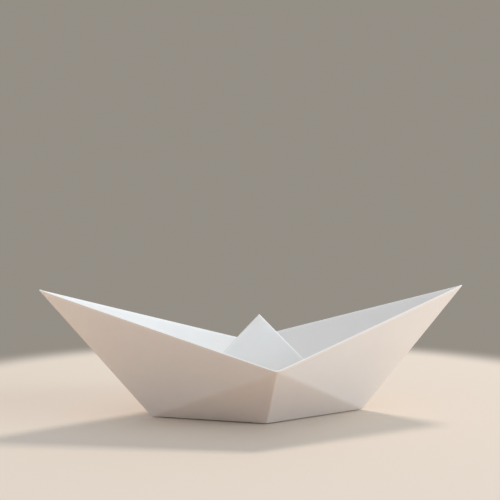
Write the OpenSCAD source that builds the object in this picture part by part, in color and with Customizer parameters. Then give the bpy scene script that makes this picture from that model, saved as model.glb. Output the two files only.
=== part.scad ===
// Folded paper boat, opened out and standing on its pressed foot.
// One sheet: eight flat hull panels, a flat floor and a hollow sail meet along mitred folds.
// Length runs along X, the beam along Y, and the origin is the centre of the foot on the table.

/* [Sheet] */
// Thickness of the folded sheet, its layers pressed together
sheet_t = 0.5; // [0.3:0.05:0.8]

/* [Hull] */
// Length from tip to tip
boat_len = 184; // [150:1:240]
// Height of the two pointed ends
tip_h = 54.5; // [44:0.5:70]
// Width over the gunwale at its low point, half way along
waist_beam = 86; // [64:1:110]
// Height of the gunwale's low point
waist_h = 26; // [18:0.5:36]

/* [Foot] */
// Length of the diamond that is pressed flat on the table
foot_len = 92; // [70:1:120]
// Width of that diamond
foot_beam = 38; // [28:1:52]

/* [Sail] */
// Height of the sail's peak above the table
sail_h = 43; // [32:0.5:64]
// Floor left between each end of the sail and the foot's corner
heel_gap = 4; // [2:0.5:10]
// Width of the sail at the floor, half way along
sail_beam = 7; // [5:0.5:20]

/* [Hidden] */

paper = "#F2F1EE";
up = [0, 0, 1];
down = [0, 0, -1];
ends = [-1, 1];

// Side of the blocks that stand for everything on one side of a plane
reach = 2 * (boat_len + waist_beam + tip_h + sail_h);

// Fold points of the hull, at the bow or stern end and on the port or starboard side
function tip(end) = [end * boat_len / 2, 0, tip_h];
function heel(end) = [end * foot_len / 2, 0, 0];
function waist(side) = [0, side * waist_beam / 2, waist_h];
function foot(side) = [0, side * foot_beam / 2, 0];

// Fold points of the sail, whose sharp end folds are two sheets thick
function peak(side) = [0, side * sheet_t, sail_h];
function sail_heel(end, side) = [end * (foot_len / 2 - heel_gap), side * sheet_t, 0];
function sail_foot(side) = [0, side * sail_beam / 2, 0];

// A plane is its unit normal, pointing out of the paper's inside, and its distance from the origin
function level(z, normal) = [normal, normal * [0, 0, z]];
function unit(v) = v / norm(v);
function plane(a, b, c, outward) =
    let (n = unit(cross(b - a, c - a)), out = n * outward < 0 ? -n : n)
    [out, out * a];
function moved_in(planes, by) = [for (p = planes) [p[0], p[1] - by]];

// Two panels in each quarter of the hull, above and below the crease from waist to heel
hull_panels = [
    for (end = ends, side = ends) each [
        plane(tip(end), heel(end), waist(side), [end, side, 0]),
        plane(waist(side), heel(end), foot(side), [end, side, 0])
    ]
];
// The gunwale's edges on one side lie in one plane with the two tips
gunwale_cuts = [for (side = ends) plane(tip(-1), tip(1), waist(side), up)];
// One sail face in each quarter, and the blunt fold that closes each end
sail_faces = [
    for (end = ends, side = ends) plane(peak(side), sail_heel(end, side), sail_foot(side), [end, side, 0])
];
sail_folds = [for (end = ends) plane(peak(-1), peak(1), sail_heel(end, 1), [end, 0, 1])];

// Everything behind one plane
module behind(p)
    rotate([0, acos(p[0].z), atan2(p[0].y, p[0].x)])
        translate([-reach / 2, -reach / 2, p[1] - reach])
            cube(reach);

// The space that lies behind every plane of a list
module within(planes)
    intersection_for(p = planes) behind(p);

module hull_and_floor()
    difference() {
        within(concat(hull_panels, gunwale_cuts, [level(0, down)]));
        within(concat(moved_in(hull_panels, sheet_t), [level(sheet_t, down)]));
    }

module paper_boat()
    color(paper)
        difference() {
            union() {
                hull_and_floor();
                within(concat(sail_faces, sail_folds, [level(0, down)]));
            }
            within(moved_in(concat(sail_faces, sail_folds), sheet_t));
        }

paper_boat();
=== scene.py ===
import math

import bmesh
import bpy
import numpy as np
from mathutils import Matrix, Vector


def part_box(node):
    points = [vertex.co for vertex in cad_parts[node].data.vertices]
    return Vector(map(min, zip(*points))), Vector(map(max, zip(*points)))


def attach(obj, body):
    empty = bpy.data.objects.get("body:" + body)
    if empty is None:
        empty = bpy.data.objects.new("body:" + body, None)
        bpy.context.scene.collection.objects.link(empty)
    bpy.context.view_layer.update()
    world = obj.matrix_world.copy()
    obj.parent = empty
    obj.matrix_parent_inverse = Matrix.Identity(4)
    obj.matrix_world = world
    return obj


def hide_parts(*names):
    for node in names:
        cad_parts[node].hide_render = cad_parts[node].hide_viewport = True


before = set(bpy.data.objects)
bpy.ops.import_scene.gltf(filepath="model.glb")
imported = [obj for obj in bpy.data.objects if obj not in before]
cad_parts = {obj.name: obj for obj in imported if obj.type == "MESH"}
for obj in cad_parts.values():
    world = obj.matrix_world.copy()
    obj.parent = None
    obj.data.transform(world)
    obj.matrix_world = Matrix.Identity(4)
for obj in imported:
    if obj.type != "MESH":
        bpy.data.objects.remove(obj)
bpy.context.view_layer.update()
scene = bpy.context.scene
scene.view_settings.view_transform = "Standard"

# the folded sheet, in metres: its overall length, beam and height come from the frame
sheet = {
    "thick": 0.0005,               # pressed layers of the sheet
    "waistHeight": 0.026,          # gunwale's low point
    "footLength": 0.092,           # diamond on the table
    "footBeam": 0.038,
    "footLift": 0.0004,            # the foot's fold stays this far off the table
    "footTuck": 0.0035,            # and the sheet touches it this far in
    "sailHeight": 0.043,
    "sailBeam": 0.007,
    "heelGap": 0.004,              # floor between the sail's end and the foot's corner
    "creaseReach": 0.0014,         # how far a soft panel crease reaches on each side
    "foldReach": 0.0004,           # the same for the tight folds at foot, floor and rim
    "reachShare": 0.45,            # the most of a run that the bend at one end may take
    "waistSoft": 0.008,            # share of the half length over which the waist crease rounds
    "stemSoft": 0.005,             # the same for the two stems
    "sailSoft": 0.4,               # share of the sail's half length over which its middle rounds
    "upperBow": 0.0003,            # bulge of the big upper panels
    "lowerBow": 0.0002,            # and of the lower ones
    "creaseWearAndHighlight": (0.4, 0.0012),   # strength and width of the pressed line along a crease, painted paler as burnish and painted highlight
    "edgeWearAndHighlight": (1.0, 0.0009),     # the same along a free edge, where the painted highlight is strongest
    "columnsPerHalf": 100,
    "underRows": 6,                # below the floor, from the sail's hollow to where the sheet lifts
    "tuckRows": 4,
    "lowerRows": 14,
    "upperRows": 24,
    "rimRows": 1,
    "floorRows": 8,                # on top of the floor, from its fold to the sail
    "bendRows": 7,
    "sailRows": 36,
    "hollowRows": 8,
    "mergeWithin": 2e-7,           # points this close become one
    "flatWithin": 1e-7,            # edges this short go
    "sharpAngle": 38.0,            # degrees, above which a fold keeps a hard shading edge
}
sailReach = sheet["footLength"] / 2 - sheet["heelGap"]     # half length of the sail at the floor
tiny = 1e-9                                                # keeps a division away from zero


def planeThrough(p, q, r):
    # unit normal turned towards +Y, and the plane's distance from the origin along it
    normal = np.cross(np.subtract(q, p), np.subtract(r, p))
    normal = normal / np.linalg.norm(normal)
    if normal[1] < 0:
        normal = -normal
    return normal, normal @ np.asarray(p)


def movedIn(plane, distance):
    # the same plane, slid back along its normal
    return plane[0], plane[1] - distance


def crossing(*planes):
    # the one point that lies on three planes
    return np.linalg.solve([p[0] for p in planes], [p[1] for p in planes])


def lengthSamples(columns):
    # u runs evenly from -1 to 1, and sin squared crowds the columns at the waist and at both stems
    u = np.linspace(-1.0, 1.0, 2 * columns + 1)
    return np.sign(u) * np.sin(np.pi / 2 * np.abs(u)) ** 2


def softAbs(value, width):
    # |value| with its corner rounded to a hyperbola, scaled so that 0 and 1 stay in place
    return (np.hypot(value, width) - width) / (math.hypot(1.0, width) - width)


def hump(share):
    # a parabola that is 0 at both ends and 1 in the middle
    return 4.0 * share * (1.0 - share)


def lateHump(share):
    # a cubic that is 0 at both ends and 1 at two thirds of the way
    return 27.0 / 4.0 * share ** 2 * (1.0 - share)


def foldLine(along, away, middle, end):
    # a fold runs from a point over the middle of the boat to a point at its end, and back on the other
    # half: x follows the rounded share along, y and z go straight from the one point to the other
    middle, end = np.asarray(middle), np.asarray(end)
    x = end[0] * along
    y = middle[1] + (end[1] - middle[1]) * away
    z = middle[2] + (end[2] - middle[2]) * away
    return np.stack((x, y, z), axis=-1)


def foldedProfile(corners, reaches, rows, bows):
    # a profile goes from corner to corner in straight runs, and each inner corner is a quadratic curve
    # between two points set back by its reach; a panel's run also bulges along y by its bow
    corners = np.asarray(corners)
    runs = corners[1:] - corners[:-1]
    lengths = np.linalg.norm(runs, axis=-1, keepdims=True)
    directions = runs / np.maximum(lengths, tiny)
    furthest = sheet["reachShare"] * lengths
    strip = []
    for i in range(len(runs)):
        start = corners[i] + directions[i] * np.minimum(reaches[i], furthest[i])
        end = corners[i + 1] - directions[i] * np.minimum(reaches[i + 1], furthest[i])
        w = np.linspace(0.0, 1.0, rows[i] + 1)[:, None, None]
        straight = start + (end - start) * w
        straight[..., 1] += bows[i] * hump(w[..., 0])
        strip.append(straight)
        if i + 1 < len(runs):
            after = corners[i + 1] + directions[i + 1] * np.minimum(reaches[i + 1], furthest[i + 1])
            t = np.linspace(0.0, 1.0, sheet["bendRows"])[1:-1, None, None]
            strip.append((1 - t) ** 2 * end + 2 * t * (1 - t) * corners[i + 1] + t ** 2 * after)
    return np.concatenate(strip)


def foldPoints():
    # the fold points of one quarter, and the same one sheet further in, where three planes cross
    halfLength, halfBeam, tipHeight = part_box("paper_boat")[1]
    thick, lift, tuck = sheet["thick"], sheet["footLift"], sheet["footTuck"]
    tip = (halfLength, 0.0, tipHeight)
    heel = (sheet["footLength"] / 2, 0.0, lift)
    waist = (0.0, halfBeam, sheet["waistHeight"])
    foot = (0.0, sheet["footBeam"] / 2, lift)

    upper = movedIn(planeThrough(tip, heel, waist), thick)
    lower = movedIn(planeThrough(waist, heel, foot), thick)
    brim = planeThrough(tip, (-halfLength, 0.0, tipHeight), waist)
    floorTop = (np.array((0.0, 0.0, 1.0)), lift + thick)
    acrossMiddle = (np.array((1.0, 0.0, 0.0)), 0.0)
    alongMiddle = (np.array((0.0, 1.0, 0.0)), 0.0)
    return {
        "tip": tip,
        "heel": heel,
        "waist": waist,
        "foot": foot,
        "heelTouch": (heel[0] - tuck, 0.0, 0.0),    # where the sheet comes down on the table
        "footTouch": (0.0, foot[1] - tuck, 0.0),
        "tipIn": crossing(upper, brim, alongMiddle),
        "waistIn": crossing(upper, brim, acrossMiddle),
        "creaseIn": crossing(upper, lower, acrossMiddle),
        "heelIn": crossing(upper, floorTop, alongMiddle),
        "footIn": crossing(lower, floorTop, acrossMiddle),
    }


def hullSkin(points, s, mouth, sailFoot):
    # one profile from the hollow's mouth under the floor, up the outside, over the rim and down to the
    # sail, carried from tip to tip: away is 0 at the waist and 1 at both tips, and along goes from -1
    # to 1 and slows down at the stems
    away = softAbs(s, sheet["waistSoft"])
    stem = sheet["stemSoft"]
    along = np.sign(s) * (1.0 - np.hypot(1.0 - np.abs(s), stem)) / (1.0 - stem)
    upperBulge = sheet["upperBow"] * lateHump(away)
    lowerBulge = sheet["lowerBow"] * lateHump(1.0 - away)
    tight, soft = sheet["foldReach"], sheet["creaseReach"]

    def fold(middle, end):
        return foldLine(along, away, points[middle], points[end])

    # each corner with its reach, then the rows and the bulge of the run that follows it
    profile = [
        (mouth, 0.0, sheet["underRows"], 0.0),
        (fold("footTouch", "heelTouch"), tight, sheet["tuckRows"], 0.0),
        (fold("foot", "heel"), tight, sheet["lowerRows"], lowerBulge),
        (fold("waist", "heel"), soft, sheet["upperRows"], upperBulge),
        (fold("waist", "tip"), tight, sheet["rimRows"], 0.0),
        (fold("waistIn", "tipIn"), tight, sheet["upperRows"], upperBulge),
        (fold("creaseIn", "heelIn"), soft, sheet["lowerRows"], lowerBulge),
        (fold("footIn", "heelIn"), tight, sheet["floorRows"], 0.0),
        (sailFoot, 0.0, 0, 0.0),
    ]
    return foldedProfile(*zip(*profile))


def sailSkin(s):
    # each level of the sail is a slim diamond with a rounded middle, and its ends are half circles two
    # sheets thick; towards the peak it shrinks evenly, and the last sheet of height closes as a dome
    height, nose = sheet["sailHeight"], sheet["thick"]
    z = nose + (height - nose) * np.sin(np.pi / 2 * np.linspace(0.0, 1.0, sheet["sailRows"]))[:, None]
    share = 1.0 - z / height
    reach = sailReach * share
    x = reach * s
    y = nose + (sheet["sailBeam"] / 2 - nose) * share * (1.0 - softAbs(s, sheet["sailSoft"]))
    noseHere = np.minimum(nose, np.maximum(reach, tiny))
    inNose = np.clip((np.abs(x) - (reach - noseHere)) / noseHere, 0.0, 1.0)
    inDome = np.clip((z - (height - nose)) / nose, 0.0, 1.0)
    y = y * np.sqrt(1.0 - inNose ** 2) * np.sqrt(1.0 - inDome ** 2)
    return np.stack(np.broadcast_arrays(x, y, z), axis=-1)


def sailHollow(s):
    # the sail's diamond one sheet further in, shrinking evenly to a point
    thick, height = sheet["thick"], sheet["sailHeight"]
    slant = math.hypot(sailReach, height)
    share = np.linspace(1.0, 0.0, sheet["hollowRows"])[:, None]
    x = (sailReach - thick * slant / height) * share * s
    y = (sheet["sailBeam"] / 2 - thick) * share * (1.0 - softAbs(s, sheet["sailSoft"]))
    z = (height - thick * slant / sailReach) * (1.0 - share)
    return np.stack(np.broadcast_arrays(x, y, z), axis=-1)


def gridFaces(rows, columns, first):
    # four corner numbers of every cell of a rows by columns grid
    corner = first + np.arange((rows - 1) * columns).reshape(rows - 1, columns)[:, :-1].ravel()
    return np.stack((corner, corner + 1, corner + 1 + columns, corner + columns), axis=-1)


def joinedMesh(skins):
    # both sides are the same skins, with y turned round on the other side, merged where they meet
    points, faces, count = [], [], 0
    for skin in skins:
        for side in (-1.0, 1.0):
            points.append((skin * (1.0, side, 1.0)).reshape(-1, 3))
            faces.append(gridFaces(skin.shape[0], skin.shape[1], count))
            count += skin.shape[0] * skin.shape[1]
    mesh = bpy.data.meshes.new("foldedPaper")
    mesh.from_pydata(np.concatenate(points), [], np.concatenate(faces))

    joined = bmesh.new()
    joined.from_mesh(mesh)
    bmesh.ops.remove_doubles(joined, verts=joined.verts, dist=sheet["mergeWithin"])
    bmesh.ops.dissolve_degenerate(joined, edges=joined.edges, dist=sheet["flatWithin"])
    bmesh.ops.recalc_face_normals(joined, faces=joined.faces)
    openEdges = sum(1 for edge in joined.edges if len(edge.link_faces) != 2)
    joined.to_mesh(mesh)
    joined.free()
    mesh.polygons.foreach_set("use_smooth", np.ones(len(mesh.polygons), bool))
    mesh.set_sharp_from_angle(angle=math.radians(sheet["sharpAngle"]))
    print("folded paper:", len(mesh.polygons), "faces,", openEdges, "open edges")
    return mesh


def addWearAndHighlight(mesh, points):
    # closeness to the nearest fold: the fold's strength right on it, fading with the distance as a bell
    # curve, exp of minus (distance over width) squared; it marks burnish and a painted highlight along
    # the folds
    tip, heel, waist, foot = (points[name] for name in ("tip", "heel", "waist", "foot"))
    creases = [(tip, heel), (heel, waist), (heel, foot), (foot, waist)]
    edges = [(waist, tip), ((sailReach, 0.0, 0.0), (0.0, 0.0, sheet["sailHeight"]))]
    places = np.empty(len(mesh.vertices) * 3, np.float32)
    mesh.vertices.foreach_get("co", places)
    quarter = np.abs(places.reshape(-1, 3).astype(float))    # all four quarters laid on one
    closeness = np.zeros(len(quarter))
    for lines, (strength, width) in ((creases, sheet["creaseWearAndHighlight"]), (edges, sheet["edgeWearAndHighlight"])):
        for start, end in np.asarray(lines):
            run = end - start
            t = np.clip((quarter - start) @ run / (run @ run), 0.0, 1.0)[:, None]
            distance = np.linalg.norm(quarter - (start + t * run), axis=1)
            closeness = np.maximum(closeness, strength * np.exp(-(distance / width) ** 2))
    wearAndHighlight = mesh.attributes.new("foldWearAndHighlight", "FLOAT", "POINT")
    wearAndHighlight.data.foreach_set("value", closeness.astype(np.float32))


def buildBoat():
    s = lengthSamples(sheet["columnsPerHalf"])
    points = foldPoints()
    sail, hollow = sailSkin(s), sailHollow(s)
    mesh = joinedMesh((hullSkin(points, s, hollow[0], sail[0]), sail, hollow))
    addWearAndHighlight(mesh, points)
    boat = bpy.data.objects.new("folded_paper", mesh)
    scene.collection.objects.link(boat)
    return boat


paper = {
    "light": (0.890, 0.890, 0.884),
    "dark": (0.862, 0.862, 0.855),
    "pressed": (0.950, 0.950, 0.945),         # burnished along a fold, and paler there as a painted highlight
    "pressedShare": 0.9,
    "mottle": (95.0, 4.0, 0.6),               # scale, detail and roughness of each noise
    "grain": (1900.0, 3.0, 0.55),
    "fibre": (1.0, 4.0, 0.6),
    "fibreStretch": (520.0, 2400.0, 2400.0),
    "noiseSpan": (0.3, 0.7),                  # where most of a noise lies
    "fibreShare": 0.45,                       # fibres in the colour, the rest is mottle
    "roughness": (0.86, 0.95),
    "pressedRoughness": 0.76,
    "specular": 0.3,
    "bumpStrength": 0.35,
    "bumpHeight": 0.00004,
    "bumpFibre": 0.5,                         # fibres in the bump, the rest is grain
    "glow": 0.4,                              # share of the light that passes into the sheet
    "glowDepth": 0.0006,
    "glowRadius": (1.0, 0.95, 0.9),
}
whole = (0.0, 1.0)                                      # a share from none to all
mixSockets = {"FLOAT": (2, 3, 0), "RGBA": (6, 7, 2)}    # where a Mix node keeps A, B and its result


def setSockets(tree, node, values):
    # an output of another node is linked, and a constant goes on the socket itself
    for name, value in values.items():
        socket = node.inputs[name]
        if isinstance(value, bpy.types.NodeSocket):
            tree.links.new(value, socket)
        elif socket.type == "RGBA":
            socket.default_value = (*value, 1.0)
        else:
            socket.default_value = value


def addNode(tree, kind, values=None, **settings):
    node = tree.nodes.new(kind)
    for name, setting in settings.items():
        setattr(node, name, setting)
    setSockets(tree, node, values or {})
    return node


def noiseTexture(tree, vector, scale, detail, roughness):
    noise = addNode(tree, "ShaderNodeTexNoise", {
        "Vector": vector,
        "Scale": scale,
        "Detail": detail,
        "Roughness": roughness,
    }, noise_dimensions="3D")
    return noise.outputs["Fac"]


def remapped(tree, value, fromSpan, toSpan, steps="LINEAR"):
    ramp = addNode(tree, "ShaderNodeMapRange", {
        "Value": value,
        "From Min": fromSpan[0],
        "From Max": fromSpan[1],
        "To Min": toSpan[0],
        "To Max": toSpan[1],
    }, clamp=True, interpolation_type=steps)
    return ramp.outputs["Result"]


def mixed(tree, kind, share, a, b):
    placeA, placeB, placeResult = mixSockets[kind]
    mix = addNode(tree, "ShaderNodeMix", {0: share, placeA: a, placeB: b}, data_type=kind)
    return mix.outputs[placeResult]


def paperMaterial():
    material = bpy.data.materials.new("whitePaper")
    material.use_nodes = True
    tree = material.node_tree
    place = addNode(tree, "ShaderNodeTexCoord").outputs["Object"]
    stretched = addNode(tree, "ShaderNodeMapping", {"Vector": place, "Scale": paper["fibreStretch"]})
    mottle = noiseTexture(tree, place, *paper["mottle"])
    grain = noiseTexture(tree, place, *paper["grain"])
    fibre = noiseTexture(tree, stretched.outputs["Vector"], *paper["fibre"])
    wearAndHighlight = addNode(tree, "ShaderNodeAttribute", attribute_name="foldWearAndHighlight").outputs["Fac"]

    # a cloudy white with fibres in it, smoother along the folds and paler there, partly burnish and
    # partly painted highlight
    cloudy = remapped(tree, mottle, paper["noiseSpan"], whole)
    fibrous = remapped(tree, fibre, paper["noiseSpan"], whole)
    flecked = mixed(tree, "FLOAT", paper["fibreShare"], cloudy, fibrous)
    plain = mixed(tree, "RGBA", flecked, paper["dark"], paper["light"])
    pressed = remapped(tree, wearAndHighlight, whole, (0.0, paper["pressedShare"]))
    rough = remapped(tree, grain, paper["noiseSpan"], paper["roughness"])
    bump = addNode(tree, "ShaderNodeBump", {
        "Strength": paper["bumpStrength"],
        "Distance": paper["bumpHeight"],
        "Height": mixed(tree, "FLOAT", paper["bumpFibre"], grain, fibre),
    })
    setSockets(tree, tree.nodes["Principled BSDF"], {
        # along the folds and edges the base colour is painted paler: partly burnish, partly painted
        # highlight
        "Base Color": mixed(tree, "RGBA", pressed, plain, paper["pressed"]),
        "Roughness": mixed(tree, "FLOAT", pressed, rough, paper["pressedRoughness"]),
        "Specular IOR Level": paper["specular"],
        "Subsurface Weight": paper["glow"],
        "Subsurface Radius": paper["glowRadius"],
        "Subsurface Scale": paper["glowDepth"],
        "Normal": bump.outputs["Normal"],
    })
    return material


boat = buildBoat()
boat.data.materials.append(paperMaterial())
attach(boat, "root")
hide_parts("paper_boat")
print("paper finished")

studio = {
    "floorHalf": 4.0,
    "floorNear": (0.800, 0.710, 0.615),
    "floorFar": (0.600, 0.540, 0.480),
    "floorRoughness": 0.9,
    "floorSpecular": 0.15,
    "fadeSpan": (0.17, 0.23),               # distances from the boat over which the floor fades out
    "bounceNearPaintedShade": (0.490, 0.325, 0.220),    # warmer tones that the boat gets as bounced light; the near one is darker, painted shade
    "bounceFar": (0.795, 0.560, 0.380),
    "paintedShadeCentre": (-0.018, -0.02, 0.0),
    "paintedShadeSpan": (0.04, 0.10),
    "backdrop": (0.300, 0.275, 0.240),
    "skyColour": (0.925, 0.955, 1.0),
    "skyStrength": 0.625,
}

lamps = {
    "key": {"place": (0.68, 0.88, 1.66), "size": 0.32, "power": 15.9, "colour": (1.0, 0.90, 0.81)},
    "side": {"place": (1.60, -0.84, 0.56), "size": 0.90, "power": 13.2, "colour": (0.76, 0.91, 1.0)},
}


def seenByCamera(tree):
    # 1 for what the camera sees, also in a gloss or through glass, and 0 for what only lights the boat
    path = addNode(tree, "ShaderNodeLightPath").outputs
    inView = path["Is Camera Ray"]
    for kind in ("Is Glossy Ray", "Is Transmission Ray"):
        either = addNode(tree, "ShaderNodeMath", {0: inView, 1: path[kind]}, operation="MAXIMUM")
        inView = either.outputs["Value"]
    return inView


def floorMaterial():
    material = bpy.data.materials.new("paleFloor")
    material.use_nodes = True
    tree = material.node_tree
    shader = tree.nodes["Principled BSDF"]
    place = addNode(tree, "ShaderNodeTexCoord").outputs["Object"]
    inView = seenByCamera(tree)

    # to the camera the pale middle fades with the distance from the boat
    fromBoat = addNode(tree, "ShaderNodeVectorMath", {0: place}, operation="LENGTH")
    fade = remapped(tree, fromBoat.outputs["Value"], studio["fadeSpan"], whole, "SMOOTHERSTEP")
    pale = mixed(tree, "RGBA", fade, studio["floorNear"], studio["floorFar"])

    # to the boat it is warmer, and darker close by as painted shade around the boat's shadow
    centre = {0: place, 1: studio["paintedShadeCentre"]}
    fromCentre = addNode(tree, "ShaderNodeVectorMath", centre, operation="DISTANCE")
    outOfPaintedShade = remapped(tree, fromCentre.outputs["Value"], studio["paintedShadeSpan"], whole)
    # the near tone is painted shade, darker where the boat's shadow lies on the floor
    bounceWithPaintedShade = mixed(tree, "RGBA", outOfPaintedShade, studio["bounceNearPaintedShade"], studio["bounceFar"])
    setSockets(tree, shader, {
        "Base Color": mixed(tree, "RGBA", inView, bounceWithPaintedShade, pale),
        "Roughness": studio["floorRoughness"],
        "Specular IOR Level": studio["floorSpecular"],
    })

    # far out the camera sees the backdrop's own tone, so that there is no horizon
    farOut = addNode(tree, "ShaderNodeMath", {0: inView, 1: fade}, operation="MULTIPLY")
    seen = addNode(tree, "ShaderNodeEmission", {"Color": studio["backdrop"]})
    mix = addNode(tree, "ShaderNodeMixShader", {
        0: farOut.outputs["Value"],
        1: shader.outputs["BSDF"],
        2: seen.outputs["Emission"],
    })
    setSockets(tree, tree.nodes["Material Output"], {"Surface": mix.outputs["Shader"]})
    return material


def buildFloor():
    half = studio["floorHalf"]
    mesh = bpy.data.meshes.new("floor")
    corners = [(-half, -half, 0.0), (half, -half, 0.0), (half, half, 0.0), (-half, half, 0.0)]
    mesh.from_pydata(corners, [], [(0, 1, 2, 3)])
    mesh.materials.append(floorMaterial())
    floor = bpy.data.objects.new("floor", mesh)
    scene.collection.objects.link(floor)


def buildSky():
    world = bpy.data.worlds.new("studioSky")
    scene.world = world
    world.use_nodes = True
    tree = world.node_tree
    light = tree.nodes["Background"]
    setSockets(tree, light, {"Color": studio["skyColour"], "Strength": studio["skyStrength"]})
    seen = addNode(tree, "ShaderNodeBackground", {"Color": studio["backdrop"]})
    mix = addNode(tree, "ShaderNodeMixShader", {
        0: seenByCamera(tree),
        1: light.outputs["Background"],
        2: seen.outputs["Background"],
    })
    setSockets(tree, tree.nodes["World Output"], {"Surface": mix.outputs["Shader"]})


def addSoftbox(name, place, size, power, colour):
    lamp = bpy.data.lights.new(name, "AREA")
    lamp.size = size
    lamp.energy = power
    lamp.color = colour
    softbox = bpy.data.objects.new(name, lamp)
    softbox.location = place
    softbox.rotation_euler = (-Vector(place)).to_track_quat("-Z", "Y").to_euler()
    scene.collection.objects.link(softbox)


buildFloor()
buildSky()
for name, lamp in lamps.items():
    addSoftbox(name, **lamp)
print("studio lit by the sky and", len(lamps), "lamps")

view = {
    "eye": (-0.0518, -0.3258, 0.0799),
    "turn": 8.35,            # degrees to the right of the boat's beam
    "dip": 1.63,             # degrees below level
    "fieldOfView": 36.0,     # degrees
    "sensorWidth": 36.0,     # millimetres
    "nearest": 0.01,
}


def addCamera():
    turn, dip = math.radians(view["turn"]), math.radians(view["dip"])
    look = Vector((math.sin(turn) * math.cos(dip), math.cos(turn) * math.cos(dip), -math.sin(dip)))
    lens = bpy.data.cameras.new("photoCamera")
    lens.sensor_width = view["sensorWidth"]
    lens.lens = view["sensorWidth"] / 2 / math.tan(math.radians(view["fieldOfView"]) / 2)
    lens.clip_start = view["nearest"]
    camera = bpy.data.objects.new("photoCamera", lens)
    camera.location = view["eye"]
    camera.rotation_euler = look.to_track_quat("-Z", "Y").to_euler()
    scene.collection.objects.link(camera)
    scene.camera = camera


addCamera()
print("camera placed")
